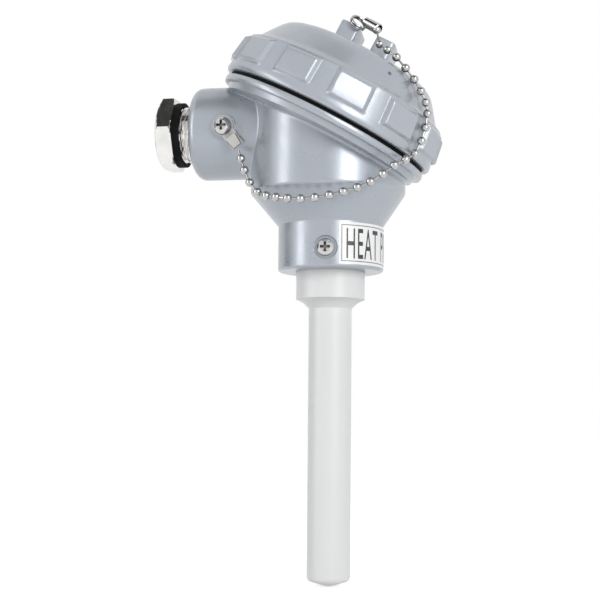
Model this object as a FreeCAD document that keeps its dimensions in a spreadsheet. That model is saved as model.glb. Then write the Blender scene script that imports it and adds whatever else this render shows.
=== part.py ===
# Thermocouple with a cast connection head: ceramic sheath, head body with tilted screw cap,
# conduit gland, bead chain, terminal block and the two thermo wires inside.
# Millimetres. Origin on the sheath axis, at the top of its plain stretch. +Z runs up to the head,
# -X is the conduit side. The cap axis leans from +Z towards +X.
import FreeCAD, Part
import math
import os

import Sketcher
from FreeCAD import Placement, Rotation, Vector

os.makedirs("parts", exist_ok=True)
doc = FreeCAD.newDocument("thermocouple")

# driving dimensions
SIZES = {
    # ceramic sheath
    "tube_radius": 7.5,
    "tube_bore": 5.0,
    "tube_length": 95.3,
    "tip_rise": 1.5,
    "tip_round": 1.6,
    "taper_height": 3.3,
    "taper_bow": 6.0,
    "collar_radius": 12.0,
    "collar_length": 23.4,
    # neck and bowl of the head
    "neck_bottom": 12.9,
    "neck_radius": 18.4,
    "neck_height": 16.0,
    "neck_round": 1.0,
    "neck_bore_depth": 15.0,
    "wire_hole": 9.4,
    "cone_height": 11.6,
    "bowl_radius": 27.2,
    "bowl_shift": 1.1,
    "bowl_round": 2.0,
    "crease_round": 1.0,
    "wall": 3.2,
    "floor_level": 40.5,
    "funnel_radius": 13.0,
    "ledge_thickness": 2.4,
    # tilted flange that the cap screws on
    "cap_shift": 2.1,
    "cap_level": 65.5,
    "cap_tilt": 27.5,
    "flange_width": 4.0,
    "flange_lip": 2.2,
    "flange_step": 1.5,
    "flange_depth": 4.4,
    "spigot_radius": 34.6,
    "spigot_bore": 30.6,
    "spigot_height": 8.6,
    # seal ring and cap
    "seal_thickness": 1.3,
    "seal_width": 3.1,
    "seat_gap": 0.05,
    "rim_width": 5.3,
    "rim_round": 1.2,
    "shoulder_step": 1.9,
    "shoulder_height": 14.6,
    "flank_step": 1.7,
    "flank_lift": 2.9,
    "flank_run": 6.9,
    "flank_rise": 8.5,
    "dome_run": 4.6,
    "dome_lift": 2.5,
    "dome_round": 7.0,
    "dome_rise": 2.2,
    "cap_wall": 3.0,
    "crown_radius": 10.6,
    "crown_height": 5.8,
    "crown_floor": 0.4,
    "crown_angle": 2.7,
    "crown_slot": 6.7,
    "crown_round": 0.8,
    "block_count": 12,
    "block_bottom": 4.4,
    "block_width": 12.5,
    "block_stand": 1.3,
    "block_slope": 0.7,
    "block_taper_angle": 1.0,
    "block_bevel": 1.2,
    # conduit boss
    "boss_radius": 16.5,
    "boss_level": 63.3,
    "boss_length": 20.6,
    "boss_round": 3.4,
    "thread_radius": 10.0,
    "thread_depth": 19.4,
    "cable_hole": 7.0,
    # cable gland
    "gland_open": 4.4,
    "gland_seal_thickness": 2.2,
    "gland_seal_radius": 11.6,
    "hex_length": 6.2,
    "hex_flats": 24.0,
    "hex_angle": 31.8,
    "hex_chamfer": 1.5,
    "gland_shank": 15.4,
    "gland_bore": 5.5,
    "grommet_length": 4.4,
    # fits
    "fit": 0.06,
    "slack": 0.15,
    # screws
    "screw_radius": 1.95,
    "screw_head": 2.95,
    "screw_head_height": 2.3,
    "recess_width": 0.9,
    "clamp_level": 19.6,
    "clamp_angle": 4.0,
    "clamp_seat": 4.0,
    "clamp_sink": 0.7,
    "washer_thickness": 0.8,
    # chain lug
    "lug_offset": 6.9,
    "lug_angle": 3.0,
    "pad_radius": 4.35,
    "pad_stand": 0.7,
    "pad_hole_depth": 5.6,
    "lug_radius": 3.7,
    "lug_width": 4.7,
    "lug_reach": 9.0,
    "lug_lean_angle": 53.0,
    "lug_thickness": 0.7,
    # chain
    "bead_radius": 1.48,
    "bead_pitch": 4.75,
    "link_radius": 0.42,
    "chain_gap": 0.25,
    "ring_radius": 2.8,
    "ring_wire": 0.36,
    "ring_eye": 1.1,
    "sleeve_radius": 1.85,
    "sleeve_bore": 1.52,
    "sleeve_length": 6.9,
    "ring_place": 8.5,
    # terminal block and wires
    "block_gap": 4.5,
    "block_thickness": 8.0,
    "pillar_radius": 3.6,
    "pillar_inset": 7.5,
    "pillar_level": 44.0,
    "pillar_hole_depth": 6.0,
    "clamp_shank": 3.6,
    "post_pitch": 16.0,
    "post_width": 7.0,
    "post_height": 9.0,
    "rod_radius": 4.2,
    "rod_bore": 0.8,
    "wire_radius": 0.5,
    "wire_pitch": 3.8,
    "junction_radius": 2.6,
    "junction_gap": 4.0,
    # label
    "label_angle": 18.0,
    "label_length": 35.0,
    "label_height": 14.3,
    "label_level": 14.0,
    "label_thickness": 0.12,
}

sheet = doc.addObject("Spreadsheet::Sheet", "sizes")
for row, (alias, value) in enumerate(SIZES.items(), 1):
    sheet.set(f"A{row}", alias)
    sheet.set(f"B{row}", str(value))
    sheet.setAlias(f"B{row}", alias)
doc.recompute()


class Size:
    """A number together with the sheet expression that gives it."""

    def __init__(self, number, text):
        self.number = float(number)
        self.text = text

    def joined(self, other, sign, number):
        return Size(number, f"({self.text} {sign} {other.text})")

    def __add__(self, other):
        other = sized(other)
        return self.joined(other, "+", self.number + other.number)

    def __sub__(self, other):
        other = sized(other)
        return self.joined(other, "-", self.number - other.number)

    def __mul__(self, other):
        other = sized(other)
        return self.joined(other, "*", self.number * other.number)

    def __truediv__(self, other):
        other = sized(other)
        return self.joined(other, "/", self.number / other.number)

    def __radd__(self, other):
        return sized(other) + self

    def __rsub__(self, other):
        return sized(other) - self

    def __rmul__(self, other):
        return sized(other) * self

    def __neg__(self):
        return sized(0) - self

    def __float__(self):
        return self.number


def sized(value):
    return value if isinstance(value, Size) else Size(value, repr(float(value)))


def size(alias):
    return Size(sheet.get(alias), f"sizes.{alias}")


def bind(thing, **properties):
    """Binds properties of an object to the sheet."""
    for name, value in properties.items():
        thing.setExpression(name, sized(value).text)
    return thing


def place(thing, x=0, y=0, z=0, turn=None):
    """Binds an object's place, turned by a fixed rotation."""
    thing.Placement = Placement(Vector(float(x), float(y), float(z)), turn or Rotation())
    for axis, value in zip("xyz", (x, y, z)):
        if isinstance(value, Size):
            thing.setExpression(f"Placement.Base.{axis}", value.text)
    return thing


def cylinder(name, radius, height, x=0, y=0, z=0, turn=None):
    rod = bind(doc.addObject("Part::Cylinder", name), Radius=radius, Height=height)
    return place(rod, x, y, z, turn)


def box(name, length, width, height, x=0, y=0, z=0, turn=None):
    block = bind(doc.addObject("Part::Box", name), Length=length, Width=width, Height=height)
    return place(block, x, y, z, turn)


def fused(name, *pieces):
    whole = doc.addObject("Part::MultiFuse", name)
    whole.Shapes = list(pieces)
    whole.Refine = True
    return whole


def cut(name, base, *tools):
    """Takes the tools away from the base."""
    whole = doc.addObject("Part::Cut", name)
    whole.Base = base
    whole.Tool = tools[0] if len(tools) == 1 else fused(f"{name}_tools", *tools)
    whole.Refine = True
    return whole


def common(name, first, second):
    whole = doc.addObject("Part::Common", name)
    whole.Base = first
    whole.Tool = second
    return whole


def rounded(name, base, radius, wanted):
    """Rounds the edges of the base for which wanted(edge) holds."""
    doc.recompute()
    numbers = [n for n, edge in enumerate(base.Shape.Edges, 1) if wanted(edge)]
    if not numbers:
        raise ValueError(f"no edge to round on {name}")
    whole = doc.addObject("Part::Fillet", name)
    whole.Base = base
    whole.Edges = [(number, float(radius), float(radius)) for number in numbers]
    return whole


def circle_at(edge, radius, near=None, reach=0.05):
    """True for a round edge of this radius whose centre lies at the given point."""
    if not isinstance(edge.Curve, Part.Circle) or abs(edge.Curve.Radius - float(radius)) > reach:
        return False
    return near is None or (edge.Curve.Center - near).Length < reach


def body(name):
    return doc.addObject("PartDesign::Body", name)


def plane(owner, role):
    return next(item for item in owner.Origin.OriginFeatures if item.Role == role)


def arc_centre(start, end, radius, side):
    """Centre of an arc from start to end that bulges to the given side."""
    chord = end - start
    half = chord.Length / 2
    away = Vector(-chord.y, chord.x, 0).normalize() * math.sqrt(max(radius**2 - half**2, 0))
    return (start + end) * 0.5 + away * side


def outline(owner, name, path, role="XZ_Plane", offset=None):
    """Draws a closed outline whose corners are bound to the sheet.

    A step (x, y) is a straight line to that corner and (x, y, radius, side) an arc to it.
    """
    sketch = owner.newObject("Sketcher::SketchObject", name)
    sketch.AttachmentSupport = [(plane(owner, role), "")]
    sketch.MapMode = "FlatFace"
    if offset is not None:
        sketch.setExpression("AttachmentOffset.Base.z", sized(offset).text)
    corners = [Vector(float(step[0]), float(step[1]), 0) for step in path]
    ends = []
    for number, step in enumerate(path):
        start, end = corners[number - 1], corners[number]
        if len(step) == 2:
            sketch.addGeometry(Part.LineSegment(start, end))
            ends.append((1, 2))
            continue
        radius, side = float(step[2]), step[3]
        centre = arc_centre(start, end, radius, side)
        first, last = (start, end) if side > 0 else (end, start)
        angles = [math.atan2(point.y - centre.y, point.x - centre.x) for point in (first, last)]
        ring = Part.Circle(centre, Vector(0, 0, 1), radius)
        sketch.addGeometry(Part.ArcOfCircle(ring, angles[0], angles[1]))
        ends.append((1, 2) if side > 0 else (2, 1))
    for number in range(len(path)):
        before = (number - 1) % len(path)
        sketch.addConstraint(
            Sketcher.Constraint("Coincident", before, ends[before][1], number, ends[number][0])
        )
    for number, step in enumerate(path):
        pin = ends[number][1]
        for kind, axis, value in (("DistanceX", -2, step[0]), ("DistanceY", -1, step[1])):
            if abs(float(value)) < 1e-9:
                sketch.addConstraint(Sketcher.Constraint("PointOnObject", number, pin, axis))
                continue
            rule = sketch.addConstraint(
                Sketcher.Constraint(kind, -1, 1, number, pin, float(value))
            )
            sketch.setExpression(f"Constraints[{rule}]", sized(value).text)
        if len(step) > 2:
            rule = sketch.addConstraint(Sketcher.Constraint("Radius", number, float(step[2])))
            sketch.setExpression(f"Constraints[{rule}]", sized(step[2]).text)
    return sketch


def round_outline(owner, name, radius, x=0, y=0, role="XY_Plane", offset=None):
    """Draws a circle bound to the sheet."""
    sketch = owner.newObject("Sketcher::SketchObject", name)
    sketch.AttachmentSupport = [(plane(owner, role), "")]
    sketch.MapMode = "FlatFace"
    if offset is not None:
        sketch.setExpression("AttachmentOffset.Base.z", sized(offset).text)
    middle = Vector(float(x), float(y), 0)
    sketch.addGeometry(Part.Circle(middle, Vector(0, 0, 1), float(radius)))
    rule = sketch.addConstraint(Sketcher.Constraint("Radius", 0, float(radius)))
    sketch.setExpression(f"Constraints[{rule}]", sized(radius).text)
    for kind, axis, value in (("DistanceX", -2, x), ("DistanceY", -1, y)):
        if abs(float(value)) < 1e-9:
            sketch.addConstraint(Sketcher.Constraint("PointOnObject", 0, 3, axis))
            continue
        rule = sketch.addConstraint(Sketcher.Constraint(kind, -1, 1, 0, 3, float(value)))
        sketch.setExpression(f"Constraints[{rule}]", sized(value).text)
    return sketch


def revolved(owner, name, sketch, kind="PartDesign::Revolution"):
    """Turns an outline on the XZ plane round the Z axis."""
    feature = owner.newObject(kind, name)
    feature.Profile = sketch
    feature.ReferenceAxis = (sketch, ["V_Axis"])
    feature.Angle = 360
    owner.Tip = feature
    doc.recompute()
    return feature


def padded(owner, name, sketch, length, taper=None):
    feature = owner.newObject("PartDesign::Pad", name)
    feature.Profile = sketch
    bind(feature, Length=length)
    if taper is not None:
        feature.TaperAngle = taper
    owner.Tip = feature
    return feature


def turned(name, path):
    """A turned piece: one outline round its own Z axis."""
    owner = body(name)
    revolved(owner, f"{name}_turning", outline(owner, f"{name}_outline", path))
    return owner


def shape_part(name, shape):
    """A piece whose shape comes from Part's own functions."""
    piece = doc.addObject("Part::Feature", name)
    piece.Shape = shape
    return piece


NODES = []


def node(thing, name):
    """Names a finished sub-part."""
    thing.Label = name
    NODES.append(thing)
    return thing


# common places
fit = size("fit")
slack = size("slack")
tilt = Rotation(Vector(0, 1, 0), float(size("cap_tilt")))
cap_centre = Vector(-float(size("cap_shift")), 0, float(size("cap_level")))
neck_top = size("neck_bottom") + size("neck_height")
bowl_bottom = neck_top + size("cone_height")
collar_top = size("taper_height") + size("collar_length")
bore_top = size("neck_bottom") + size("neck_bore_depth")
half_seal = size("seal_thickness") / 2
bowl_wall = size("bowl_shift") + size("bowl_radius")
inner_radius = size("bowl_radius") - size("wall")
boss_end = bowl_wall + size("boss_length")
lug_place = bowl_wall + size("lug_offset")
flange_radius = size("spigot_radius") + size("flange_width")
flange_bottom = -half_seal - size("flange_depth")
cap_bottom = half_seal + size("seat_gap")
rim_radius = size("spigot_radius") + size("rim_width")
shoulder_radius = rim_radius - size("shoulder_step")
flank_radius = shoulder_radius - size("flank_step")
flank_height = size("shoulder_height") + size("flank_lift")
flank_top_radius = flank_radius - size("flank_run")
flank_top_height = flank_height + size("flank_rise")
dome_radius = flank_top_radius - size("dome_run")
dome_low = flank_top_height + size("dome_lift")
dome_height = dome_low + size("dome_rise")
crown_top = dome_height + size("crown_height")
junction_level = size("tube_length") - size("junction_gap")
pillar_reach = inner_radius - size("pillar_inset")
TO_CONDUIT = Rotation(Vector(0, 1, 0), -90)  # local +Z points along -X


def on_cap(x, y, z):
    """A point given along the cap's own axes."""
    return cap_centre + tilt.multVec(Vector(float(x), float(y), float(z)))


def tilted(thing):
    """Seats a piece, made round its own Z axis, on the cap axis."""
    return place(thing, -size("cap_shift"), 0, size("cap_level"), tilt)


# ceramic sheath: closed tube with a rounded tip, a taper and a thick collar
def make_sheath():
    tube = size("tube_radius")
    tip = -size("tube_length")
    collar = size("collar_radius")
    side_end = tip + size("tip_rise") + size("tip_round")
    bore_end = tip + (tube - size("tube_bore"))
    dome = 24.0
    path = [
        (0, tip),
        (tube - size("tip_round"), tip + size("tip_rise"), dome, 1),
        (tube, side_end, size("tip_round"), 1),
        (tube, 0),
        (collar, size("taper_height"), size("taper_bow") * 1.4, -1),
        (collar, collar_top),
        (size("tube_bore"), collar_top),
        (size("tube_bore"), bore_end),
        (0, bore_end),
    ]
    return node(turned("sheath", path), "sheath")


# head body: one casting
def make_flange():
    """The tilted flange and its threaded spigot, round the cap axis."""
    lip_bottom = -half_seal - size("flange_lip")
    step = flange_radius - size("flange_step")
    path = [
        (size("spigot_radius"), size("spigot_height")),
        (size("spigot_radius"), -half_seal),
        (flange_radius, -half_seal),
        (flange_radius, lip_bottom, 2.6, -1),
        (step, lip_bottom - 0.2),
        (step - 0.9, flange_bottom),
        (0, flange_bottom),
        (0, size("spigot_height")),
    ]
    return tilted(turned("flange_form", path))


def make_cone():
    """The funnel between the round neck and the wider, shifted bowl."""
    owner = body("cone_form")
    low = round_outline(owner, "cone_low", size("neck_radius"), offset=neck_top)
    high = round_outline(
        owner, "cone_high", size("bowl_radius"), x=-size("bowl_shift"), offset=bowl_bottom
    )
    loft = owner.newObject("PartDesign::AdditiveLoft", "cone_loft")
    loft.Profile = low
    loft.Sections = [high]
    loft.Ruled = True
    owner.Tip = loft
    return owner


def lid_above(name, height):
    """A big block above a plane square to the cap axis."""
    reach = flange_radius * 2
    lid = box(name, reach * 2, reach * 2, reach)
    lid.Placement = Placement(on_cap(-reach, -reach, height), tilt)
    return lid


def at_crease(edge):
    """True for the edges where the boss or the flange meets the bowl's wall."""
    if isinstance(edge.Curve, (Part.Line, Part.Circle)):
        return False
    points = edge.discretize(9)[1:-1]
    shift = -float(size("bowl_shift"))
    wall = float(size("bowl_radius"))
    return all(abs(math.hypot(point.x - shift, point.y) - wall) < 0.05 for point in points)


def make_head():
    shift = -size("bowl_shift")
    boss_level = size("boss_level")
    floor = size("floor_level")

    # outside
    neck = cylinder("neck_form", size("neck_radius"), size("neck_height"), z=size("neck_bottom"))
    bowl_height = size("cap_level") - bowl_bottom
    bowl = cylinder("bowl_form", size("bowl_radius"), bowl_height * 1.5, x=shift, z=bowl_bottom)
    bowl = cut("bowl_low", bowl, lid_above("above_flange", -3))
    lower = fused("head_lower", neck, make_cone(), bowl)
    crease = Vector(float(shift), 0, float(bowl_bottom))
    lower = rounded(
        "head_lower_round",
        lower,
        size("bowl_round"),
        lambda edge: circle_at(edge, size("bowl_radius"), crease),
    )
    boss = cylinder(
        "boss_form",
        size("boss_radius"),
        boss_end - size("bowl_shift"),
        x=shift,
        z=boss_level,
        turn=TO_CONDUIT,
    )
    boss_mouth = Vector(-float(boss_end), 0, float(boss_level))
    boss = rounded(
        "boss_round_form",
        boss,
        size("boss_round"),
        lambda edge: circle_at(edge, size("boss_radius"), boss_mouth),
    )
    pad = cylinder(
        "lug_pad",
        size("pad_radius"),
        size("pad_stand") + 3,
        *lug_point(0, 0, -3),
        turn=LUG_TURN,
    )
    outer = fused("head_outer", lower, boss, make_flange(), pad)
    outer = rounded("head_creases", outer, size("crease_round"), at_crease)

    # inside
    cavity = cylinder("cavity", inner_radius, size("cap_level"), x=shift, z=floor)
    cavity = cut("cavity_low", cavity, lid_above("cavity_lid", float(size("spigot_height")) + 1))
    mouth = cylinder("mouth", size("spigot_bore"), size("cap_level"))
    mouth.Placement = Placement(on_cap(0, 0, flange_bottom + size("wall")), tilt)
    neck_bore = cylinder(
        "neck_bore", size("collar_radius") + slack, size("neck_bore_depth"), z=size("neck_bottom")
    )
    wire_hole = cylinder("wire_hole_cut", size("wire_hole"), 20, z=bore_top - 1)
    funnel = doc.addObject("Part::Cone", "funnel")
    bind(
        funnel,
        Radius1=size("funnel_radius"),
        Radius2=inner_radius - 1.5,
        Height=floor - bore_top - size("ledge_thickness") + 0.1,
    )
    place(funnel, shift, 0, bore_top + size("ledge_thickness"))
    thread = cylinder(
        "boss_thread",
        size("thread_radius") + fit,
        size("thread_depth"),
        x=-boss_end + size("thread_depth"),
        z=boss_level,
        turn=TO_CONDUIT,
    )
    cable_hole = cylinder(
        "boss_cable_hole", size("cable_hole"), 30, x=-20, z=boss_level, turn=TO_CONDUIT
    )
    hollow = cut("hollow", outer, cavity, mouth, neck_bore, wire_hole, funnel, thread, cable_hole)

    # pillars for the terminal block
    pillars = []
    holes = []
    for side in (-1, 1):
        away = shift + pillar_reach * side
        pillar = cylinder(
            f"pillar_{side + 1}",
            size("pillar_radius"),
            size("pillar_level") - bore_top - 5,
            x=away,
            z=bore_top + 5,
        )
        pillars.append(pillar)
        hole = cylinder(
            f"pillar_hole_{side + 1}",
            size("screw_radius") + fit,
            size("pillar_hole_depth"),
            x=away,
            z=size("pillar_level") - size("pillar_hole_depth"),
        )
        holes.append(hole)
    limit = cylinder("pillar_limit", inner_radius + 1, size("cap_level"), x=shift, z=neck_top)
    skin = common("pillars_in", fused("pillar_pair", *pillars), limit)
    skin = common("pillars_in_cone", skin, lower)
    raised = fused("head_raised", hollow, skin)

    # screw holes
    lug_hole = cylinder(
        "lug_hole",
        size("screw_radius") + fit,
        size("pad_hole_depth") + 1,
        *lug_point(0, 0, size("pad_stand") - size("pad_hole_depth")),
        turn=LUG_TURN,
    )
    clamp_hole = cylinder(
        "clamp_hole",
        size("screw_radius") + fit,
        size("neck_radius") + 2,
        z=size("clamp_level"),
        turn=CLAMP_TURN,
    )
    seat = cylinder("clamp_seat_cut", size("clamp_seat"), 4, *clamp_point(0), turn=CLAMP_TURN)
    drilled = cut("head_drilled", raised, *holes, lug_hole, clamp_hole, seat)
    low_rim = Vector(0, 0, float(size("neck_bottom")))
    whole = rounded(
        "head_rounded",
        drilled,
        size("neck_round"),
        lambda edge: circle_at(edge, size("neck_radius"), low_rim),
    )
    return node(whole, "head_body")


# places of the outer screws: local +Z points out of the casting
LUG_TURN = Rotation(Vector(1, 0, 0), 90 + float(size("lug_angle")))
CLAMP_TURN = Rotation(Vector(0, 0, 1), float(size("clamp_angle"))) * Rotation(Vector(1, 0, 0), 90)


def lug_point(x, y, z):
    """A point given on the chain lug's seat: x along the boss, y up, z out from the boss wall."""
    out = LUG_TURN.multVec(Vector(0, 0, 1))
    up = LUG_TURN.multVec(Vector(0, 1, 0))
    reach = size("boss_radius") + z
    return (
        -lug_place + x,
        reach * out.y + sized(y) * up.y,
        size("boss_level") + reach * out.z + sized(y) * up.z,
    )


def clamp_point(z):
    """A point out along the clamp screw's axis, from its seat."""
    out = CLAMP_TURN.multVec(Vector(0, 0, 1))
    reach = size("neck_radius") - size("clamp_sink") + z
    return (reach * out.x, reach * out.y, size("clamp_level"))


def numbers(point):
    return Vector(*(float(value) for value in point))


# cap: turned dome with grip blocks, a slotted crown and an eye for the ring
def cap_profile():
    """Outer outline of the dome from its shoulder up to the crown, as (radius, height)."""
    return [
        (shoulder_radius, size("shoulder_height")),
        (flank_radius, flank_height, 5.0, 1),
        (flank_top_radius, flank_top_height),
        (dome_radius, dome_low, size("dome_round"), 1),
        (size("crown_radius") + 0.6, dome_height),
    ]


def make_cap():
    owner = body("cap")
    wall = size("cap_wall")
    bore = size("spigot_radius") + fit
    crown = size("crown_radius")
    path = [
        (bore, cap_bottom),
        (rim_radius - size("rim_round"), cap_bottom),
        (rim_radius, cap_bottom + size("rim_round"), size("rim_round"), 1),
        *cap_profile(),
        (crown, dome_height + 0.5),
        (crown, crown_top - size("crown_round")),
        (crown - size("crown_round"), crown_top, size("crown_round"), 1),
        (0, crown_top),
        (0, dome_height - wall + 0.4),
        (dome_radius - wall * 0.3, dome_low - wall),
        (flank_top_radius - wall * 0.77, flank_top_height - wall * 0.64),
        (flank_radius - wall * 0.77, flank_height - wall * 0.64),
        (bore, size("shoulder_height") - 2),
    ]
    revolved(owner, "cap_turning", outline(owner, "cap_outline", path))

    # grip blocks round the skirt, half a pitch away from the crown slot
    inner = size("spigot_radius") + 1
    outer = rim_radius + size("block_stand") + 2
    half = size("block_width") / 2
    face = rim_radius + size("block_stand")
    narrow = half - (outer - face) * size("block_slope")
    wide = half + (face - inner) * size("block_slope")
    block = outline(
        owner,
        "block_outline",
        [(-wide, -inner), (-narrow, -outer), (narrow, -outer), (wide, -inner)],
        role="XY_Plane",
        offset=size("block_bottom"),
    )
    block.AttachmentOffset = Placement(
        Vector(0, 0, float(size("block_bottom"))),
        Rotation(Vector(0, 0, 1), 180 / float(size("block_count"))),
    )
    pad = padded(owner, "block", block, size("shoulder_height") - size("block_bottom"))
    pad.TaperAngle = -float(size("block_taper_angle"))
    pad.setExpression("TaperAngle", "-sizes.block_taper_angle")
    pattern = owner.newObject("PartDesign::PolarPattern", "block_ring")
    pattern.Originals = [pad]
    pattern.Axis = (plane(owner, "Z_Axis"), "")
    pattern.Angle = 360
    owner.Tip = pattern
    bind(pattern, Occurrences=size("block_count"))
    foot = size("block_bottom") + size("block_bevel")
    trim = outline(
        owner,
        "block_trim",
        [
            (rim_radius - 0.3, size("block_bottom")),
            (face - 0.4, foot),
            (shoulder_radius + size("block_stand") + 0.3, size("shoulder_height") + 1),
            (face + 8, size("shoulder_height") + 1),
            (face + 8, size("block_bottom")),
        ],
    )
    revolved(owner, "block_faces", trim, kind="PartDesign::Groove")

    # slot across the crown and the eye in one of its two halves
    slot = outline(
        owner,
        "slot_outline",
        [
            (-size("crown_slot") / 2, -(crown + 2)),
            (size("crown_slot") / 2, -(crown + 2)),
            (size("crown_slot") / 2, crown + 2),
            (-size("crown_slot") / 2, crown + 2),
        ],
        role="XY_Plane",
        offset=crown_top + 1,
    )
    pocket = owner.newObject("PartDesign::Pocket", "slot")
    pocket.Profile = slot
    bind(pocket, Length=size("crown_height") - size("crown_floor") + 1)
    owner.Tip = pocket
    eye = round_outline(
        owner, "eye_outline", size("ring_eye"), -size("ring_place"), eye_height, role="YZ_Plane"
    )
    hole = owner.newObject("PartDesign::Pocket", "eye")
    hole.Profile = eye
    bind(hole, Length=crown + 2)
    owner.Tip = hole
    doc.recompute()
    owner.Placement = Placement(cap_centre, CAP_TURN)
    place(owner, -size("cap_shift"), 0, size("cap_level"), CAP_TURN)
    return node(owner, "cap")


CAP_TURN = tilt * Rotation(Vector(0, 0, 1), float(size("crown_angle")))
eye_height = crown_top - size("ring_eye") - 0.8


def on_crown(x, y, z):
    """A point given in the cap's own frame, y along the crown slot."""
    return cap_centre + CAP_TURN.multVec(Vector(float(x), float(y), float(z)))


def make_seal_ring():
    path = [
        (size("spigot_radius") + 0.3, -half_seal),
        (size("spigot_radius") + size("seal_width"), -half_seal),
        (size("spigot_radius") + size("seal_width"), half_seal),
        (size("spigot_radius") + 0.3, half_seal),
    ]
    return node(tilted(turned("cap_seal", path)), "cap_seal")


# screws
def make_screw(name, shank, slotted=False):
    """A screw made round +Z with its head's seat at the origin."""
    head = size("screw_head")
    high = size("screw_head_height")
    path = [
        (0, -shank),
        (size("screw_radius"), -shank),
        (size("screw_radius"), 0),
        (head, 0),
        (head, high * 0.45),
        (head * 0.62, high, 3.4, 1),
        (0, high),
    ]
    blank = turned(f"{name}_blank", path)
    wide = size("recess_width")
    reach = head * 2.2 if slotted else head * 1.15
    bars = []
    for quarter in range(1 if slotted else 2):
        sides = (reach, wide) if quarter == 0 else (wide, reach)
        bar = box(f"{name}_bar_{quarter}", sides[0], sides[1], 3)
        place(bar, sides[0] * -0.5, sides[1] * -0.5, high - 1.1)
        bars.append(bar)
    return cut(name, blank, *bars)


# cable gland: hexagon nut with a threaded shank, its seal ring, washer and grommet
def make_gland():
    flats = size("hex_flats")
    length = size("hex_length")
    corner = flats / math.sqrt(3)
    prism = doc.addObject("Part::Prism", "gland_hexagon")
    prism.Polygon = 6
    bind(prism, Circumradius=corner, Height=length)
    chamfer = turned(
        "gland_chamfer",
        [
            (0, 0),
            (flats / 2 + 0.6, 0),
            (corner + 0.1, 0.8),
            (corner + 0.1, length - size("hex_chamfer")),
            (flats / 2 - 0.4, length),
            (0, length),
        ],
    )
    shank = cylinder("gland_thread", size("thread_radius"), size("gland_shank"), z=-size("gland_shank"))
    bore = cylinder(
        "gland_bore_cut", size("gland_bore"), length + size("gland_shank") + 2, z=-size("gland_shank") - 1
    )
    whole = cut("gland_nut", fused("gland_solid", common("gland_head", prism, chamfer), shank), bore)
    turn = TO_CONDUIT * Rotation(Vector(0, 0, 1), float(size("hex_angle")))
    place(whole, gland_back, 0, size("boss_level"), turn)
    return node(whole, "gland_nut")


gland_back = -(boss_end + size("gland_open") + size("gland_seal_thickness"))


def make_ring(name, inner, outer, length, x):
    """A ring on the conduit axis, its outer end at x."""
    path = [(inner, 0), (outer, 0), (outer, length), (inner, length)]
    return place(turned(name, path), x + length, 0, size("boss_level"), TO_CONDUIT)


# chain lug: round plate, tab and folded end that grips the chain
def make_lug():
    owner = body("chain_lug")
    wide = size("lug_width") / 2
    thick = size("lug_thickness")
    plate = round_outline(owner, "lug_plate_outline", size("lug_radius"))
    padded(owner, "lug_plate", plate, thick)
    tab = outline(
        owner,
        "lug_tab_outline",
        [(0, -wide), (size("lug_reach"), -wide), (size("lug_reach"), wide), (0, wide)],
        role="XY_Plane",
    )
    padded(owner, "lug_tab", tab, thick)
    fold = outline(
        owner,
        "lug_fold_outline",
        [
            (size("lug_reach") - 4.2, -wide * 0.8),
            (size("lug_reach"), -wide * 0.62),
            (size("lug_reach"), wide * 0.62),
            (size("lug_reach") - 4.2, wide * 0.8),
        ],
        role="XY_Plane",
    )
    padded(owner, "lug_fold", fold, thick * 2.6)
    hole = round_outline(owner, "lug_hole_outline", size("screw_radius") + slack)
    pocket = owner.newObject("PartDesign::Pocket", "lug_screw_hole")
    pocket.Profile = hole
    pocket.Type = 1
    pocket.Midplane = True
    owner.Tip = pocket
    turn = LUG_TURN * Rotation(Vector(0, 0, 1), -float(size("lug_lean_angle")))
    place(owner, *lug_point(0, 0, size("pad_stand")), turn)
    return node(owner, "chain_lug")


# bead chain
def lug_end():
    """Where the chain leaves the lug."""
    lean = math.radians(float(size("lug_lean_angle")))
    reach = float(size("lug_reach"))
    out = size("pad_stand") + size("lug_thickness") * 1.3
    return numbers(lug_point(reach * math.cos(lean), -reach * math.sin(lean), out))


def round_bowl(turn, stand, level):
    """A chain point beside the bowl, turn in degrees from -Y towards +X."""
    angle = math.radians(turn)
    reach = float(size("bowl_radius") + size("bead_radius")) + stand
    shift = -float(size("bowl_shift"))
    return Vector(shift + reach * math.sin(angle), -reach * math.cos(angle), level)


def over_cap(turn, radius, height, lean):
    """A chain point resting on the cap, lean in degrees between its wall and upright."""
    angle = math.radians(turn)
    stand = float(size("bead_radius") + size("chain_gap"))
    reach = float(radius) + stand * math.cos(math.radians(lean))
    level = float(height) + stand * math.sin(math.radians(lean))
    return on_cap(reach * math.sin(angle), -reach * math.cos(angle), level)


def sleeve_ends():
    """Both ends of the chain's end sleeve, from the ring to the chain."""
    level = crown_top + 0.6
    start = on_crown(-2.4, -size("ring_place") - 0.3, level)
    towards = on_crown(3.4, -size("ring_place") - 3.4, level - 0.9)
    ahead = (towards - start).normalize()
    return start, start + ahead * float(size("sleeve_length"))


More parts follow.
